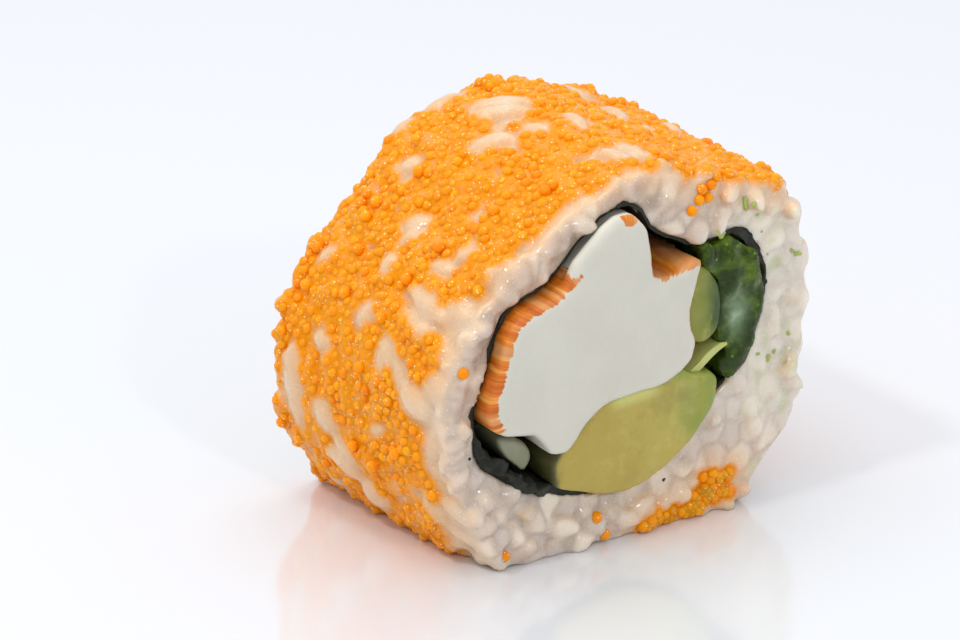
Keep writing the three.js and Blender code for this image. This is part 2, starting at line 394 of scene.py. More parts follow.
def rice_material():
    """Cooked rice: peach outside, greyish beige where it's cut, orange gel between the eggs, with painted
    shade by the nori and between grains, painted orange light near the eggs and painted glints.
    """
    m = Material(
        "rice",
        Subsurface_Weight=0.6,
        Subsurface_Radius=(1.0, 0.7, 0.5),
        Subsurface_Scale=1.6 * MM,
        Specular_IOR_Level=0.4,
        IOR=1.38,
        Coat_Roughness=0.13,
        Coat_IOR=1.45,
    )
    cut, roe_stain_and_bleed, gel = m.attribute("cut"), m.attribute("roe_stain_and_bleed"), m.attribute("gel")
    pale, gap_shade, tone = m.attribute("pale"), m.attribute("gap_shade"), m.attribute("tone")
    patches = m.noise(300, 4)
    milky = m.mix(patches, (0.68, 0.55, 0.41), (0.82, 0.71, 0.57))
    peach = m.mix(patches, (0.70, 0.40, 0.18), (0.80, 0.52, 0.28))
    # Peach near the eggs, partly roe juice and partly painted orange light that bleeds from them.
    outside = m.mix(roe_stain_and_bleed, milky, peach)
    inner = m.mix(m.noise(260, 4, 0.6), (0.68, 0.57, 0.46), (0.90, 0.80, 0.69))
    # Painted shade on the cut where the rice meets the nori at the upper left.
    inner = m.mix(m.attribute("nori_shade"), inner, m.mix(patches, (0.34, 0.27, 0.23), (0.50, 0.43, 0.38)))
    inner = m.mix(pale, inner, m.mix(patches, (0.76, 0.72, 0.61), (0.86, 0.83, 0.74)))
    plain = m.range(pale, 0.0, 1.0, 1.0, 0.4)
    inner = m.mix(m.math("MULTIPLY", m.range(tone, 0.0, 0.7, 0.55, 0.0), plain), inner, (0.50, 0.44, 0.43))
    inner = m.mix(m.math("MULTIPLY", m.range(tone, 0.6, 1.0, 0.0, 0.6), plain), inner, (0.92, 0.83, 0.70))
    # Painted shade in the gaps between grains.
    inner = m.mix(m.math("MULTIPLY", m.math("MULTIPLY", gap_shade, 0.55), plain), inner, (0.40, 0.32, 0.26))
    # The same on the cut: roe juice smeared by the knife and painted orange light from the eggs.
    inner = m.mix(m.math("MULTIPLY", roe_stain_and_bleed, 0.9), inner, (0.80, 0.50, 0.27))
    colour = m.mix(cut, outside, inner)
    colour = m.mix(m.attribute("green"), colour, (0.50, 0.56, 0.28))
    colour = m.mix(gel, colour, m.mix(patches, (0.94, 0.27, 0.001), (0.97, 0.34, 0.003)))
    # Painted glints: tiny pale dots in the base colour, stronger on the gel.
    glints = m.math("MULTIPLY", m.sparkles(2300, 0.2), m.range(gel, 0.0, 1.0, 0.5, 1.0))
    colour = m.mix(glints, colour, (1.0, 0.93, 0.75))
    wet = m.noise(650, 3, 0.6)
    dry_gel = m.range(gel, 0.0, 1.0, 1.0, 0.25)
    relief = m.bump(m.noise(600, 4, 0.6), 0.26, 0.7)
    relief = m.bump(m.noise(2400, 3, 0.6), 0.08, 0.7, relief)
    return m.set(
        Base_Color=colour,
        Roughness=m.range(wet, 0.3, 0.7, 0.25, 0.5),
        Specular_Tint=m.mix(gel, (1.0, 1.0, 1.0), (1.0, 0.5, 0.1)),
        Coat_Weight=m.math("MULTIPLY", m.range(wet, 0.38, 0.56, 0.1, 1.0), dry_gel),
        Normal=relief,
    )


def roe_material():
    m = Material(
        "roe",
        Subsurface_Weight=0.5,
        Subsurface_Radius=(1.0, 0.7, 0.3),
        Subsurface_Scale=0.5 * MM,
        Specular_IOR_Level=0.1,
        IOR=1.4,
        Roughness=0.2,
        Coat_Weight=0.3,
        Coat_Roughness=0.13,
        Coat_IOR=1.45,
        Coat_Tint=(1.0, 0.80, 0.40, 1.0),
    )
    colour = m.ramp(
        m.attribute("tone"),
        (0.0, (0.95, 0.28, 0.001)),
        (0.5, (0.97, 0.345, 0.002)),
        (1.0, (1.0, 0.41, 0.004)),
    )
    # Painted glints: tiny pale yellow dots in the eggs' base colour.
    colour = m.mix(m.sparkles(2300, 0.22), colour, (1.0, 0.92, 0.62))
    return m.set(Base_Color=colour, Normal=m.bump(m.noise(2200, 2), 0.02, 0.3))


def nori_material():
    m = Material("nori", Specular_IOR_Level=0.22, Coat_Roughness=0.2)
    weave = m.noise(900, 5, 0.7, distortion=0.6)
    fibres = m.noise(1500, 3, 0.6, stretch=(1.0, 0.25, 1.0))
    colour = m.ramp(
        weave,
        (0.3, (0.009, 0.010, 0.007)),
        (0.6, (0.028, 0.030, 0.021)),
        (0.8, (0.065, 0.067, 0.045)),
    )
    relief = m.bump(weave, 0.25, 0.8)
    relief = m.bump(fibres, 0.08, 0.6, relief)
    damp = m.noise(350, 3)
    return m.set(
        Base_Color=colour,
        Roughness=m.range(damp, 0.35, 0.65, 0.35, 0.65),
        Coat_Weight=m.range(damp, 0.55, 0.66, 0.0, 0.35),
        Normal=relief,
    )


def surimi_material():
    m = Material(
        "surimi",
        Subsurface_Weight=0.5,
        Subsurface_Radius=(1.0, 0.85, 0.7),
        Subsurface_Scale=1.2 * MM,
        Specular_IOR_Level=0.45,
        Coat_Roughness=0.3,
        Coat_Weight=0.15,
    )
    skin, along = m.attribute("skin"), m.attribute("along")
    flesh = m.mix(m.noise(140, 5, 0.6), (0.61, 0.585, 0.49), (0.73, 0.705, 0.62))
    pits = m.noise(2400, 2, 0.5)
    flesh = m.mix(m.range(pits, 0.66, 0.78, 0.0, 0.25), flesh, (0.52, 0.48, 0.40))
    joined = m.nodes.new("ShaderNodeCombineXYZ")
    m.links.new(along, joined.inputs[0])
    m.links.new(m.math("MULTIPLY", m.axis(1), 60.0), joined.inputs[1])
    strokes = m.noise(1.3, 4, 0.7, place=joined.outputs[0])
    broad = m.noise(0.7, 2, 0.5, place=joined.outputs[0])
    brushed = m.ramp(
        strokes,
        (0.34, (0.80, 0.44, 0.11)),
        (0.44, (0.74, 0.22, 0.008)),
        (0.56, (0.58, 0.13, 0.004)),
        (0.70, (0.32, 0.055, 0.003)),
    )
    brushed = m.mix(m.range(broad, 0.46, 0.6, 0.0, 0.5), brushed, (0.80, 0.48, 0.20))
    edge = m.math("ADD", skin, m.range(strokes, 0.2, 0.8, -0.3, 0.3))
    colour = m.mix(m.range(edge, 0.44, 0.56), flesh, brushed)
    relief = m.bump(m.noise(1300, 4, 0.6, stretch=(1.0, 0.3, 1.0)), 0.07, 0.5)
    relief = m.bump(m.noise(300, 5, 0.65, stretch=(1.0, 0.4, 0.5), distortion=0.4), 0.3, 0.5, relief)
    return m.set(Base_Color=colour, Roughness=m.range(m.noise(600), 0.3, 0.7, 0.42, 0.6), Normal=relief)


def avocado_material(name, ripe, mid, rind, across):
    """ripe, mid and rind are colours along the painted across value. across is where mid lies on it."""
    m = Material(
        name,
        Subsurface_Weight=0.45,
        Subsurface_Radius=(1.0, 0.8, 0.25),
        Subsurface_Scale=0.9 * MM,
        Specular_IOR_Level=0.5,
        Coat_Roughness=0.2,
    )
    value = m.attribute("across")
    mottled = m.math("ADD", value, m.range(m.noise(330, 3), 0.25, 0.75, -0.12, 0.12))
    colour = m.ramp(mottled, (0.0, ripe), (across, mid), (1.0, rind))
    bruise = m.noise(240, 4, 0.6)
    colour = m.mix(m.range(bruise, 0.5, 0.7, 0.0, 0.45), colour, tuple(0.6 * c for c in mid))
    streaks = m.noise(420, 4, 0.65, distortion=0.5)
    colour = m.mix(m.range(streaks, 0.52, 0.7, 0.0, 0.3), colour, (0.60, 0.53, 0.15))
    colour = m.mix(m.attribute("bright"), colour, (0.62, 0.62, 0.20))
    colour = m.mix(m.attribute("shade"), colour, (0.11, 0.105, 0.035))
    relief = m.bump(m.noise(700, 4, 0.6), 0.16, 0.7)
    wet = m.noise(500, 2)
    return m.set(
        Base_Color=colour,
        Roughness=m.range(wet, 0.3, 0.7, 0.3, 0.5),
        Coat_Weight=m.range(wet, 0.45, 0.6, 0.0, 0.3),
        Normal=relief,
    )


def cucumber_material():
    m = Material(
        "cucumber",
        Subsurface_Weight=0.3,
        Subsurface_Radius=(0.4, 1.0, 0.2),
        Subsurface_Scale=0.6 * MM,
        Specular_IOR_Level=0.2,
        Specular_Tint=(0.6, 1.0, 0.4, 1.0),
        Coat_Weight=0.25,
        Coat_Roughness=0.05,
        Coat_Tint=(0.9, 1.0, 0.8, 1.0),
    )
    flesh = m.attribute("flesh")
    pulp = m.noise(420, 4, 0.6)
    dark = m.ramp(
        pulp,
        (0.3, (0.006, 0.010, 0.001)),
        (0.5, (0.024, 0.042, 0.002)),
        (0.72, (0.13, 0.20, 0.012)),
    )
    pale = m.ramp(
        pulp,
        (0.3, (0.10, 0.17, 0.07)),
        (0.6, (0.25, 0.33, 0.22)),
        (0.75, (0.42, 0.50, 0.42)),
    )
    crumbs = m.range(m.cells(900), 0.0, 0.2, 1.0, 0.0)
    colour = m.mix(flesh, dark, pale)
    colour = m.mix(m.math("MULTIPLY", crumbs, 0.7), colour, (0.26, 0.42, 0.06))
    relief = m.bump(m.noise(500, 4, 0.6), 0.4, 0.8)
    return m.set(Base_Color=colour, Roughness=0.2, Normal=relief)


def slip_material():
    """The cucumber's pale flesh where it lies in the shade of the surimi."""
    m = Material(
        "cucumber_flesh",
        Subsurface_Weight=0.4,
        Subsurface_Radius=(1.0, 1.0, 0.7),
        Subsurface_Scale=0.8 * MM,
        Coat_Roughness=0.1,
    )
    colour = m.mix(m.noise(380, 4), (0.20, 0.20, 0.11), (0.38, 0.38, 0.26))
    return m.set(Base_Color=colour, Roughness=0.3, Normal=m.bump(m.noise(700, 3), 0.15, 0.6))


def floor_material():
    m = Material("floor", Roughness=0.13, IOR=2.1, Specular_IOR_Level=0.7)
    haze = m.noise(6, 2)
    return m.set(Base_Color=m.mix(haze, (0.78, 0.79, 0.815), (0.80, 0.81, 0.835)))


# ---- stage, lights and camera ----


def area_light(name, place, size, power, colour=(1, 1, 1)):
    """A square light that points at the middle of the piece. Metres and watts."""
    data = bpy.data.lights.new(name, "AREA")
    data.size = size
    data.energy = power
    data.color = colour
    light = bpy.data.objects.new(name, data)
    light.location = place
    light.rotation_mode = "QUATERNION"
    light.rotation_quaternion = (Vector((0, 0, HUB[2] * MM)) - Vector(place)).to_track_quat("-Z", "Y")
    bpy.context.scene.collection.objects.link(light)


def studio():
    scene = bpy.context.scene
    scene.view_settings.view_transform = "Standard"
    world = bpy.data.worlds.new("studio")
    scene.world = world
    world.use_nodes = True
    background = world.node_tree.nodes["Background"]
    background.inputs["Color"].default_value = (0.93, 0.955, 1.0, 1)
    background.inputs["Strength"].default_value = 0.84
    area_light("key", (-0.12, 0.14, 0.50), 0.3, 0.55, (1.0, 0.985, 0.96))
    area_light("top", (0.20, 0.14, 0.48), 0.3, 0.4)
    area_light("glint_left", (-0.27, -0.02, 0.40), 0.04, 0.45, (1.0, 0.985, 0.96))
    area_light("glint_front", (-0.05, -0.50, 0.32), 0.04, 0.45, (0.98, 0.99, 1.0))
    reach = 1500
    corners = [(-reach, -reach, 0), (reach, -reach, 0), (reach, reach, 0), (-reach, reach, 0)]
    floor = make("floor", corners, [[0, 1, 2, 3]])
    floor.data.materials.append(floor_material())


def photo_camera():
    """A long lens from the photo's side. back points from the piece to the camera."""
    data = bpy.data.cameras.new("camera")
    data.lens, data.sensor_width = 150.0, 36.0
    data.clip_start, data.clip_end = 0.01, 10.0
    camera = bpy.data.objects.new("camera", data)
    camera.location = (-0.20715, -0.2851, 0.1489)
    azimuth, elevation = math.radians(-35.0), math.radians(20.5)
    flat = math.cos(elevation)
    back = Vector((math.sin(azimuth) * flat, -math.cos(azimuth) * flat, math.sin(elevation)))
    camera.rotation_mode = "QUATERNION"
    camera.rotation_quaternion = (-back).to_track_quat("-Z", "Y")
    bpy.context.scene.collection.objects.link(camera)
    bpy.context.scene.camera = camera


def finished(thing, material, node):
    """Gives a piece its material and its body and, where there is one, hides the solid that it replaces."""
    thing.data.materials.clear()
    thing.data.materials.append(material)
    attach(thing, "root")
    if node:
        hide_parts(node)


# ---- where the rice shows ----

# Bare windows in the roe, each a grain of rice or a few side by side: degrees round the hub, place
# along the roll, length, width, and turn from the round direction towards +Y.
WINDOWS = [
    # over the top
    (88, 7.4, 6.2, 4.6, 35), (103, 2.6, 5.2, 3.0, 31), (90, 0.8, 3.4, 2.3, 75), (77, 0.7, 5.6, 2.5, 108),
    (55, 4.1, 5.6, 2.6, 105), (82, -9.4, 5.0, 3.6, 80), (54, -0.3, 2.2, 1.6, 29), (112, 13.4, 3.0, 1.8, 20),
    (123, 8.3, 3.4, 2.4, 48), (96, 13.4, 5.0, 2.2, 10), (57, 10.5, 5.4, 2.6, 60), (44, 0.6, 3.2, 1.8, 70),
    # on the shoulder
    (140, 1.8, 3.6, 2.2, 48), (145, 1.4, 2.6, 1.8, 37), (149, -5.3, 3.8, 1.9, 91), (155, 1.6, 2.4, 1.7, 6),
    (161, 10.9, 3.0, 2.0, 49), (143, -7.0, 2.4, 1.4, 60),
    # down the flank
    (170, 1.0, 4.2, 2.6, 48), (175, -3.8, 5.0, 3.4, 33), (163, -6.4, 7.4, 4.4, 100),
    (184, -8.9, 5.4, 3.0, 108), (178, -12.0, 4.6, 3.0, 70), (181, 6.2, 3.6, 2.2, 91),
    (196, 10.4, 9.0, 3.4, 176), (200, 5.4, 4.8, 3.2, 134), (209, 3.2, 4.8, 3.6, 121),
    (218, 0.6, 4.4, 3.2, 124), (221, 8.2, 3.6, 2.0, 140), (196, -3.4, 2.2, 1.2, 60),
    # the flank that faces right
    (28, -2.0, 4.6, 3.0, 80), (12, 5.5, 5.0, 2.8, 20), (-4, -1.5, 5.2, 3.0, 110), (-20, 7.5, 5.0, 3.0, 45),
    (-36, 0.5, 4.8, 2.8, 90), (24, 10.6, 4.0, 2.4, 130), (-14, -7.0, 5.0, 3.4, 20), (2, 12.0, 3.6, 2.2, 60),
]
# A trail of eggs runs over the big window on the flank and ends in a clump: points and half width.
TRAIL = [(162, 0.1), (167, -3.2), (170, -6.3), (173, -9.4)]
TRAIL_WIDTH = 1.15
# How near the roe comes to the front cut, as (degrees round the hub, place along the roll).
FRONT_EDGE = [
    (-60, -8), (-40, -7), (8, -7), (26, -9.5), (38, -12.9), (62, -13), (82, -12.2), (128, -11.2),
    (150, -11.8), (156, -9), (161, -6), (168, -3), (178, -3), (184, -6.5), (194, -10), (204, -10.4),
    (218, -9.2), (229, -8), (236, -11.5), (244, -12.5),
]
BACK_EDGE = 13.6  # how far towards the back cut the roe goes


def degrees_round(points):
    """The angle round the hub, from -120 to 240 degrees."""
    angle = np.degrees(np.arctan2(points[:, 2] - HUB[2], points[:, 0] - HUB[0]))
    return (angle + 120) % 360 - 120


def crumple(points):
    """How far the nori is crumpled, from 0 to 1: low on the left and over the cucumber."""
    angle = degrees_round(points)
    left = smoothstep(angle, 190, 204) * (1 - smoothstep(angle, 226, 238))
    right = 0.5 * smoothstep(angle, 4, 20) * (1 - smoothstep(angle, 50, 64))
    return np.maximum(left, right)


def nori_trim(points):
    """How much thinner than its solid the nori is, in millimetres."""
    angle = degrees_round(points)
    left = smoothstep(angle, 156, 166) * (1 - smoothstep(angle, 194, 204))
    right = smoothstep(angle, 8, 24) * (1 - smoothstep(angle, 48, 60))
    return 0.18 + 0.5 * left + 0.32 * right - 0.18 * crumple(points)


def surface_at(body, degrees, y):
    """The outermost point of a tree of faces at an angle round the hub, and its normal."""
    away = Vector((math.cos(math.radians(degrees)), 0, math.sin(math.radians(degrees))))
    hit = body.ray_cast(Vector((HUB[0], y, HUB[2])) + away * 40, -away)
    return np.array(hit[0]), np.array(hit[1])


def window_frames(body):
    """Each window's middle, axes (long, across, out), length and width."""
    found = []
    for degrees, y, length, width, turn in WINDOWS:
        middle, normal = surface_at(body, degrees, min(max(y, FRONT + 0.3), BACK - 0.3))
        found.append((middle, frame_of(normal, math.pi - math.radians(turn), 0), length, width))
    return found


def in_windows(points, windows, margin):
    """Which points lie in a window that is widened by a margin."""
    inside = np.zeros(len(points), bool)
    for middle, axes, length, width in windows:
        local = (points - middle) @ axes
        round_it = (local[:, 0] / (length / 2 + margin)) ** 2 + (local[:, 1] / (width / 2 + margin)) ** 2
        inside |= (round_it < 1) & (np.abs(local[:, 2]) < 4)
    return inside


def on_trail(points, body):
    """Which points lie on the trail of eggs, whose last stop is a wider clump."""
    stops = [surface_at(body, degrees, y)[0] for degrees, y in TRAIL]
    near = np.full(len(points), np.inf)
    for a, b in zip(stops, stops[1:]):
        share = np.clip((points - a) @ (b - a) / ((b - a) @ (b - a)), 0, 1)
        near = np.minimum(near, np.linalg.norm(points - a - share[:, None] * (b - a), axis=1))
    near = np.minimum(near, np.linalg.norm(points - stops[-1], axis=1) - 0.8)
    return near < TRAIL_WIDTH


# ---- rice ----

VOXEL = 0.35  # how fine the melted rice is
GRAIN_LENGTH, GRAIN_WIDTH = 5.2, 2.5
WINDOW_GRAIN = 2.3  # about how wide one of the grains in a window is


def grain_template():
    """A cooked grain: a bent ellipsoid with blunt ends, 1 long and 1 across."""
    co, tris = ball(2)
    x = co[:, 0]
    co[:, 1:] *= (1 - 0.12 * x**4)[:, None]
    co[:, 2] += 0.16 * (x**2 - 0.3)
    return co * 0.5, tris


def grains_on(points, normals, length, width, proud, lean):
    """Grains that lie any way round on a surface and stand proud of it by a number in a range."""
    places = []
    for point, normal in zip(points, normals):
        long, wide = rng.normal(length, 0.45), rng.normal(width, 0.16)
        high = 0.85 * wide
        axes = frame_of(normal, rng.uniform(0, math.tau), rng.normal(0, lean))
        middle = point + normal * (rng.uniform(*proud) - high / 2)
        places.append((axes * np.array([long, wide, high]), middle))
    return places


def window_grains(windows):
    """The grains that fill the windows and stand a little proud of the rest."""
    places = []
    for middle, axes, length, width in windows:
        count = max(1, round(width / WINDOW_GRAIN))
        across = 1.12 * width / count
        for k in range(count):
            side = (k - (count - 1) / 2) * width / count
            long, wide = length * rng.uniform(0.92, 1.08), across * rng.uniform(0.95, 1.1)
            high = min(wide, 2.6)
            spot = middle + axes[:, 1] * side + axes[:, 2] * (rng.uniform(0.9, 1.15) - high / 2)
            places.append((axes * np.array([long, wide, high]), spot))
    return places


# Grains that stand out of the front cut: x, z, length, width, turn, and how far they stand out, to
# which END_LIFT is added.
END_LIFT = 0.35
END_GRAINS = [
    (7.3, 28.6, 3.6, 2.8, 20, 0.75), (4.4, 29.4, 3.0, 1.8, 60, 0.4), (-10.6, 26.4, 3.0, 1.5, 50, 0.4),
    (-13.2, 25.6, 2.6, 1.3, 110, 0.5), (-17.4, 16.6, 3.2, 2.0, 80, 0.6), (-18.0, 13.0, 3.4, 2.2, 60, 0.5),
    (-13.8, 7.2, 3.0, 2.2, 100, 0.6), (-11.0, 4.4, 4.0, 2.0, 20, 0.5), (-7.6, 2.8, 3.6, 1.9, 70, 0.5),
    (-4.4, 2.4, 4.2, 1.8, 40, 0.5), (-14.8, 3.2, 3.6, 2.0, 130, 0.4), (-0.6, 1.9, 3.4, 1.9, 75, 0.5),
    (1.0, 2.6, 3.8, 1.9, 115, 0.4), (12.6, 12.4, 3.2, 2.2, 30, 0.5), (11.6, 12.3, 3.6, 2.6, 100, 0.9),
]


def end_grains(solid):
    places = []
    for x, z, length, width, turn, proud in END_GRAINS:
        hit = front_hit(solid, x, z)
        if hit is not None:
            axes = frame_of(TO_FRONT, math.radians(turn), 0.15)
            middle = hit - np.array([0, proud + END_LIFT - 0.45 * width, 0])
            places.append((axes * np.array([length, width, 0.9 * width]), middle))
    return places


def shrunk_core(co, tris):
    """The rice solid drawn in a little, at the cuts most, with its bore closed on the nori."""
    normals = vertex_normals(co, tris)
    facing = np.sum(normals * outwards(co), axis=1)
    bore = (np.abs(normals[:, 1]) < 0.5) & (facing < -0.2)
    closing = 0.28 + nori_trim(co)
    depth = np.where(np.abs(normals[:, 1]) > 0.5, 0.45, 0.1)
    step = np.where(bore, -closing, depth)
    return co - normals * step[:, None]


def build_rice(co, tris, windows):
    """The rice as one skin, and the middles of its grains."""
    nori = tree(*arrays(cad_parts["nori"]))

    def on_side(points, normals):
        free = (np.abs(normals[:, 1]) < 0.55) & (np.sum(normals * outwards(points), axis=1) > 0.1)
        return free & ~in_windows(points, windows, 0.2)

    def cuts(points, normals):
        clear = np.array([nori.find_nearest(Vector(p))[3] > 1.05 for p in points])
        return (np.abs(normals[:, 1]) > 0.5) & clear

    def ring(points, normals):
        near = np.array([nori.find_nearest(Vector(p))[3] for p in points])
        return (np.abs(normals[:, 1]) > 0.5) & (near > 0.5) & (near < 1.6)

    side = scatter(co, tris, 2.4, 9000, on_side)
    face = scatter(co, tris, 1.9, 9000, cuts)
    lip = scatter(co, tris, 1.9, 9000, ring)
    shown = window_grains(windows)
    places = grains_on(*side, GRAIN_LENGTH, GRAIN_WIDTH, (0.35, 0.6), 0.05) + shown
    places += grains_on(*face, 4.0, 2.2, (-0.3, 0.45), 0.45)
    places += grains_on(*lip, 3.0, 1.6, (-0.25, 0.1), 0.3)
    places += end_grains(tree(co, tris))
    template = grain_template()
    grain_co, grain_tris = copies(template, places)
    whole = len(template[0]) * (len(side[0]) + len(shown))
    slack = 0.25 * cloudy(grain_co[:whole], 2.0, 21.0)
    grain_co[:whole, 1] = np.clip(grain_co[:whole, 1], FRONT + 0.15 + slack, BACK - 0.15 + slack)
    core_co = shrunk_core(co, tris)
    all_co = np.concatenate([core_co, grain_co])
    all_tris = np.concatenate([tris, grain_tris + len(core_co)])
    rice = fused(make("rice_grains", all_co, all_tris), VOXEL, 2)
    skin = vertices_of(rice)
    skin[:, 2] = np.maximum(skin[:, 2], LOWEST)
    skin[:, 1] = np.minimum(skin[:, 1], cad_high[1] / MM)
    move_to(rice, skin)
    return rice, np.array([middle for _, middle in places])


# ---- roe ----


def roe_points(rice, body, windows):
    """Where eggs sit on the rice, and which way each stands out."""
    co, tris = arrays(rice)
    edge_at, edge_y = np.array(FRONT_EDGE).T

    def covered(points, normals):
        sides = np.sum(normals * outwards(points), axis=1) > 0.12
        holes = cloudy(points, 4.0, 1.0) + 0.35 * cloudy(points, 1.7, 2.0)
        ragged = 0.6 * cloudy(points, 1.5, 3.0)
        in_front = points[:, 1] < np.interp(degrees_round(points), edge_at, edge_y) + ragged
        behind = points[:, 1] > BACK_EDGE + ragged
        bare = in_windows(points, windows, 0.4) | (holes < -0.44) | in_front | behind
        return sides & (points[:, 2] > 0.45) & (~bare | on_trail(points, body))

    points, normals = scatter(co, tris, 0.76, 80000, covered)
    return points, unit(normals + outwards(points))


def eggs(name, middles, sizes, rounds):
    """One piece made of balls. sizes are their radii, rounds is how finely each is divided."""
    co, tris = ball(rounds)
    places = [(np.eye(3) * s, m) for s, m in zip(sizes, middles)]
    thing = make(name, *copies((co, tris), places))
    paint(thing, "tone", np.repeat(np.clip(rng.normal(0.5, 0.2, len(middles)), 0, 1), len(co)))
    return thing


def egg_sizes(count):
    """Radii of some eggs."""
    return rng.normal(EGG, 0.05, count) / 2


# Eggs that the knife left on the front cut, as (x, z), and the run of them along its lower edge.
STRAY_EGGS = [
    (7.6, 32.4), (8.7, 32.6), (7.2, 31.5), (8.3, 31.5), (6.2, 30.7), (9.4, 33.2), (3.2, 35.2), (-18.9, 20.3),
    (-16.2, 26.7), (-3.1, 0.9), (-14.4, 1.5), (-4.2, 2.9),
]
LOW_RUN = [(1.6, 0.7), (6.3, 0.9), (9.2, 2.0), (11.4, 3.2)]


def stray_eggs(body, points, outs):
    """Middles of eggs on the front cut, then of a second layer here and there on the coat."""
    spots = list(STRAY_EGGS)
    for a, b in zip(LOW_RUN, LOW_RUN[1:]):
        for share in rng.random(20):
            jitter = rng.normal(0, 0.45, 2) * (1 + share * (a[1] > 1.5))
            spots.append((a[0] + (b[0] - a[0]) * share + jitter[0], a[1] + (b[1] - a[1]) * share + jitter[1]))
    middles = []
    for x, z in spots:
        hit = front_hit(body, x, max(z, 0.6))
        if hit is not None and hit[1] < -11:
            middles.append(hit + np.array([0, 0.1 if z < 4 else -0.1, 0]))
    upper = (rng.random(len(points)) < 0.03) & (points[:, 2] > 4)
    middles += list(points[upper] + outs[upper] * 0.65 + rng.normal(0, 0.1, (upper.sum(), 3)))
    return np.array(middles)


GEL = 0.42  # how deep the wet film between the eggs is


def roe_gel(rice, points, outs):
    """Raises the rice where eggs lie on it, so that they sit in a wet film."""
    co, normals = vertices_of(rice), normals_of(rice)
    film = 1 - smoothstep(distances(co, points), 0.6, 1.15)
    sides = smoothstep(np.sum(normals * outwards(co), axis=1), 0.1, 0.4)
    co = co + normals * (GEL * film * sides)[:, None]
    co[:, 2] = np.maximum(co[:, 2], LOWEST)
    move_to(rice, co)


def build_roe(rice, body, windows):
    """Both pieces of roe, and the middles of the eggs in each."""
    points, outs = roe_points(rice, body, windows)
    sizes = egg_sizes(len(points))
    roe_gel(rice, points, outs)
    middles = points + outs * (GEL + sizes * rng.uniform(-0.9, -0.2, len(points)))[:, None]
    middles[:, 2] = np.maximum(middles[:, 2], sizes)
    coat = eggs("roe_eggs", middles, sizes, 2)
    finished(coat, roe_material(), "roe_coat")
    loose_middles = stray_eggs(body, points, outs)
    loose_sizes = egg_sizes(len(loose_middles))
    loose_middles[:, 2] = np.maximum(loose_middles[:, 2], loose_sizes)
    loose = eggs("roe_loose_eggs", loose_middles, loose_sizes, 3)
    finished(loose, coat.data.materials[0], None)
    return middles, loose_middles


def paint_rice(rice, grains, coat, loose):
    """What the rice's material reads: how it is cut and stained, where painted shade and painted orange light
    from the eggs lie, and how it is divided into grains.
    """
    co, normals = vertices_of(rice), normals_of(rice)
    cut = smoothstep(np.abs(normals[:, 1]), 0.4, 0.85) * smoothstep(np.abs(co[:, 1] - MIDWAY), 11.5, 13.0)
    low = loose[(loose[:, 2] < 5.5) & (loose[:, 0] > 0)]
    stained = np.concatenate([coat, low])
    to_egg = distances(co, stained)
    rim = 1 - smoothstep(distances(co, stained[np.abs(stained[:, 1]) > 8]), 0.5, 4.2)
    first, second, nearest = two_nearest(co, grains)
    paint(rice, "cut", cut)
    wide = np.exp(-((np.maximum(to_egg - 0.5, 0) / 2.2) ** 2))
    nori = distances(co * (1, 0, 1), vertices_of(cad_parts["nori"]) * (1, 0, 1))
    left = 1 - smoothstep(co[:, 0], 2, 9)
    paint(rice, "gel", 1 - smoothstep(to_egg, 0.72, 1.1))
    # How near the eggs: partly roe juice, partly painted orange light bleeding from them.
    paint(rice, "roe_stain_and_bleed", np.maximum((0.25 + 0.75 * wide) * (1 - 0.45 * cut), 0.85 * rim))
    right = smoothstep(co[:, 0] + 0.25 * cloudy(co, 3.0, 4.0), 6, 16) * smoothstep(co[:, 2], 1, 12)
    paint(rice, "pale", right * (1 - 0.6 * rim))
    # Painted shade by the nori at the upper left of the cut.
    shade_by_nori = (1 - smoothstep(nori, 0.6, 3.2)) * left * smoothstep(co[:, 2], 14, 22)
    paint(rice, "nori_shade", shade_by_nori * smoothstep(cloudy(co, 2.0, 6.0), -0.5, 0.3))
    # Painted shade where two grains meet.
    paint(rice, "gap_shade", 1 - smoothstep(second - first, 0.0, 0.7))
    paint(rice, "tone", rng.random(len(grains))[nearest])
    green = smoothstep(co[:, 0], 12, 16) * smoothstep(cloudy(co, 1.8, 5.0), 0.15, 0.5) * cut
    paint(rice, "green", 0.5 * green * smoothstep(-co[:, 1], 0, 5))


# ---- fillings ----


def filling(name, node, voxel, grow, lumps, scale, seed):
    """A CAD filling remeshed fine, grown into the clearance round it and made uneven."""
    co, tris = arrays(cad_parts[node])
    thing = fused(make(name, co, tris), voxel, 4)
    co, normals = vertices_of(thing), normals_of(thing)
    sideways = normals.copy()
    sideways[:, 1] = 0
    co = co + sideways * grow + normals * (cloudy(co, scale, seed) * lumps)[:, None]
    move_to(thing, co)
    return thing


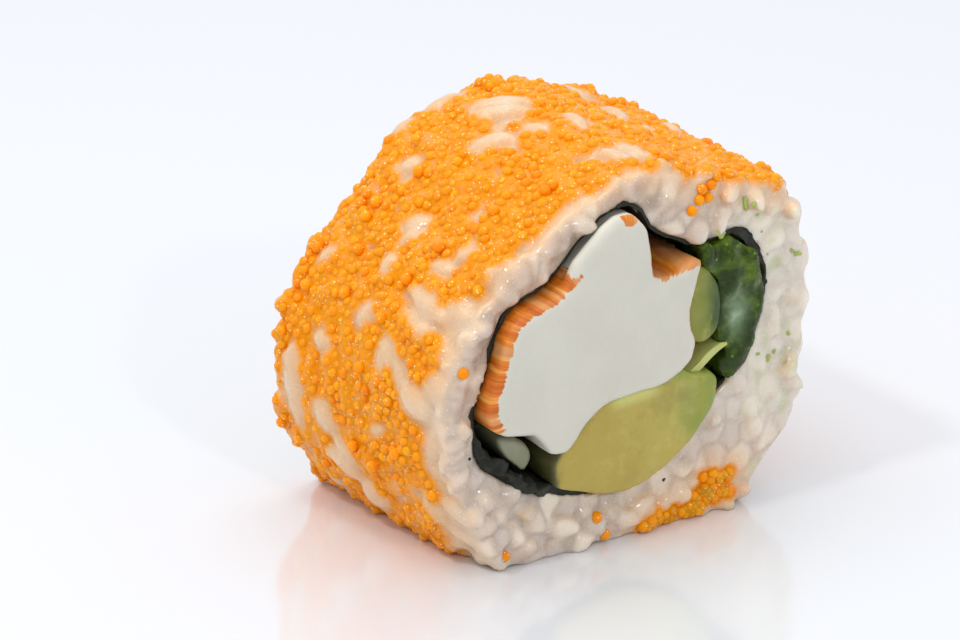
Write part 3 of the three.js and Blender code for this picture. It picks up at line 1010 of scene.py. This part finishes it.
def build_surimi():
    thing = filling("surimi_stick", "surimi", 0.3, 0.28, 0.12, 2.4, 3.0)
    co = vertices_of(thing)
    # The fin's left side swells out over the nori where the knife left it.
    swell = smoothstep(-co[:, 1], 13.5, 14.3) * smoothstep(co[:, 2], 26.2, 28.4)
    swell *= smoothstep(-co[:, 0] - 0.9 * (30 - co[:, 2]), 0.0, 2.5)
    co = co + np.array([-0.78, 0, 0.6]) * swell[:, None]
    move_to(thing, co)
    normals = normals_of(thing)
    lateral = 1 - smoothstep(np.abs(normals[:, 1]), 0.3, 0.75)
    angle = np.arctan2(co[:, 2] - 19, co[:, 0] + 3)
    under = (angle > math.radians(-160)) & (angle < math.radians(-12))
    side_co = co[(lateral > 0.8) & ~under]
    reach = distances(co * (1, 0, 1), side_co * (1, 0, 1))
    fin = smoothstep(co[:, 2], 27.0, 28.4) * smoothstep(-co[:, 0], -1.4, -0.6)
    left = smoothstep(-co[:, 0] - 0.35 * (co[:, 2] - 20), -1.0, 3.5)
    tip = 1 - smoothstep(np.hypot(co[:, 0] + 1.5, co[:, 2] - 32.1), 0.7, 1.2)
    right = smoothstep(co[:, 0], 3.5, 5.5)
    width = 0.06 + 0.16 * left + 0.2 * right - 0.5 * fin * (1 - tip) + 1.1 * tip
    front = np.clip(0.5 + (width - reach) / 0.8, 0, 1)
    side = np.clip(1.0 - fin, 0, 1)
    paint(thing, "skin", np.where(lateral > 0.8, np.where(under, 0.0, side), front))
    paint(thing, "along", np.unwrap(angle) * 11.0)
    finished(thing, surimi_material(), "surimi")


def left_side(thing, high, low):
    """1 on faces that look along -X and lie left of low, fading out towards high."""
    co, normals = vertices_of(thing), normals_of(thing)
    return smoothstep(-normals[:, 0], 0.35, 0.75) * smoothstep(-co[:, 0], -high, -low)


def build_avocado():
    thing = filling("avocado_wedge", "avocado", 0.28, 0.14, 0.12, 3.0, 4.0)
    co = vertices_of(thing)
    paint(thing, "across", smoothstep(co[:, 0] + 0.35 * (co[:, 2] - 12), -5.0, 10.5))
    top = smoothstep(co[:, 2] - 0.1 * co[:, 0], 13.2, 14.6)
    narrow = smoothstep(co[:, 0], -4, -2) * smoothstep(-co[:, 0], -3, -1)
    paint(thing, "bright", 0.9 * top * narrow)
    paint(thing, "shade", left_side(thing, -1.0, -5.5))
    finished(
        thing,
        avocado_material("avocado", (0.46, 0.35, 0.06), (0.50, 0.40, 0.075), (0.22, 0.30, 0.035), 0.45),
        "avocado",
    )
    lens = filling("avocado_lens", "avocado_side", 0.26, 0.14, 0.16, 1.8, 5.0)
    co = vertices_of(lens)
    paint(lens, "across", smoothstep(co[:, 0], 6.5, 9.8))
    paint(lens, "bright", np.zeros(len(co)))
    paint(lens, "shade", np.zeros(len(co)))
    finished(
        lens,
        avocado_material("avocado_lens", (0.25, 0.27, 0.03), (0.18, 0.22, 0.02), (0.03, 0.07, 0.005), 0.5),
        "avocado_side",
    )
    curl = filling("avocado_sliver", "avocado_curl", 0.24, 0.12, 0.12, 1.4, 6.0)
    co = vertices_of(curl)
    run = (co[:, 0] - 8.4) / 2.8
    thin = 0.34 - 0.1 * run
    co[:, 2] = 15.7 + (co[:, 2] - 16.1) * thin + 1.25 * run + 0.3 * np.sin(3.2 * run)
    co[:, 0] = 8.1 + (co[:, 0] - 8.4) * 1.12
    co[:, 1] = np.maximum(co[:, 1], -14.0)
    move_to(curl, co)
    paint(curl, "across", smoothstep(co[:, 2], 14.5, 17.5))
    paint(curl, "bright", np.full(len(co), 0.5))
    paint(curl, "shade", np.zeros(len(co)))
    finished(
        curl,
        avocado_material("avocado_sliver", (0.46, 0.50, 0.14), (0.50, 0.52, 0.18), (0.3, 0.38, 0.08), 0.5),
        "avocado_curl",
    )


def build_cucumber():
    thing = filling("cucumber_baton", "cucumber", 0.26, 0.3, 0.55, 1.7, 7.0)
    co = vertices_of(thing)
    spot = np.exp(-(((co[:, 0] - 12.0) / 1.1) ** 2) - ((co[:, 2] - 19.6) / 2.1) ** 2)
    paint(thing, "flesh", np.clip(spot * (1 + 0.25 * cloudy(co, 1.0, 8.0)), 0, 1))
    finished(thing, cucumber_material(), "cucumber")
    piece = filling("cucumber_slip", "cucumber_offcut", 0.25, 0.1, 0.15, 1.5, 9.0)
    co = vertices_of(piece)
    # The photo shows it smaller than its solid, drawn in towards the lower right.
    corner_x, corner_z = -10.6, 8.8
    co[:, 0] = corner_x + (co[:, 0] - corner_x) * 0.62
    co[:, 2] = corner_z + (co[:, 2] - corner_z) * 0.75
    move_to(piece, co)
    finished(piece, slip_material(), "cucumber_offcut")


def build_nori():
    co, tris = arrays(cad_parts["nori"])
    thing = make("nori_sheet", co, tris)
    finer = thing.modifiers.new("finer", "SUBSURF")
    finer.subdivision_type = "SIMPLE"
    finer.levels = 3
    applied(thing)
    co, normals = vertices_of(thing), normals_of(thing)
    bent = crumple(co)
    outer = smoothstep(np.sum(normals * outwards(co), axis=1), 0.1, 0.4)
    co = co - outwards(co) * (outer * nori_trim(co))[:, None]
    crinkle = (0.14 + 0.3 * bent) * cloudy(co, 1.3, 10.0) + (0.06 + 0.2 * bent) * cloudy(co, 0.6, 11.0)
    ends = smoothstep(np.abs(co[:, 1] - MIDWAY), 12.6, 13.8)
    co = co + outwards(co) * (crinkle * (0.4 + ends) * (0.6 + bent))[:, None]
    co[:, 1] += np.sign(co[:, 1]) * ends * (-0.45 + 0.75 * bent + 0.3 * cloudy(co, 1.1, 12.0) * (0.5 + bent))
    move_to(thing, co)
    finished(thing, nori_material(), "nori")


# Smears of avocado and crumbs of nori on the front cut: x, z and size.
GREEN_SPECKS = [
    (12.6, 30.1, 0.8), (13.3, 30.0, 0.5), (19.2, 23.8, 0.5), (18.5, 24.3, 0.35), (9.9, 27.7, 0.65),
    (9.3, 28.0, 0.4), (16.1, 13.9, 0.55), (17.0, 14.5, 0.35), (15.0, 14.6, 0.3), (17.7, 13.3, 0.3),
    (15.2, 26.8, 0.3), (15.8, 24.4, 0.25), (14.6, 28.4, 0.25), (18.4, 16.0, 0.25),
]
NORI_CRUMBS = [(-17.9, 11.7, 0.22), (4.3, 4.3, 0.26), (15.9, 21.6, 0.2), (-13.6, 10.2, 0.25)]


def crumbs(name, body, spots, material, slot):
    """Small uneven flat bits that lie on the front cut."""
    template = ball(2)
    places = []
    for x, z, size in spots:
        hit = front_hit(body, x, z)
        if hit is not None:
            axes = frame_of(TO_FRONT, rng.uniform(0, math.tau), 0)
            shape = axes * (size * np.array([rng.uniform(0.7, 1.0), rng.uniform(0.4, 0.7), 0.3]))
            places.append((shape, hit))
    thing = make(name, *copies(template, places))
    co = vertices_of(thing)
    move_to(thing, co + 0.22 * np.stack([cloudy(co, 0.5, seed) for seed in (31.0, 32.0, 33.0)], 1))
    for attribute in ("across", "bright", "shade"):
        paint(thing, attribute, np.full(len(co), 0.3 if attribute == "bright" else 0.0))
    finished(thing, material, None)


# ---- the piece ----


def main():
    studio()
    photo_camera()
    co, tris = arrays(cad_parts["rice"])
    solid = tree(co, tris)
    windows = window_frames(solid)
    rice, grains = build_rice(co, tris, windows)
    skin = tree(*arrays(rice))
    coat, loose = build_roe(rice, skin, windows)
    paint_rice(rice, grains, coat, loose)
    finished(rice, rice_material(), "rice")
    build_nori()
    build_surimi()
    build_avocado()
    build_cucumber()
    green = avocado_material("avocado_smear", (0.26, 0.38, 0.04), (0.34, 0.46, 0.07), (0.3, 0.4, 0.06), 0.5)
    crumbs("avocado_smears", skin, GREEN_SPECKS, green, "avocado")
    crumbs("nori_crumbs", skin, NORI_CRUMBS, bpy.data.materials["nori"], "nori")


main()
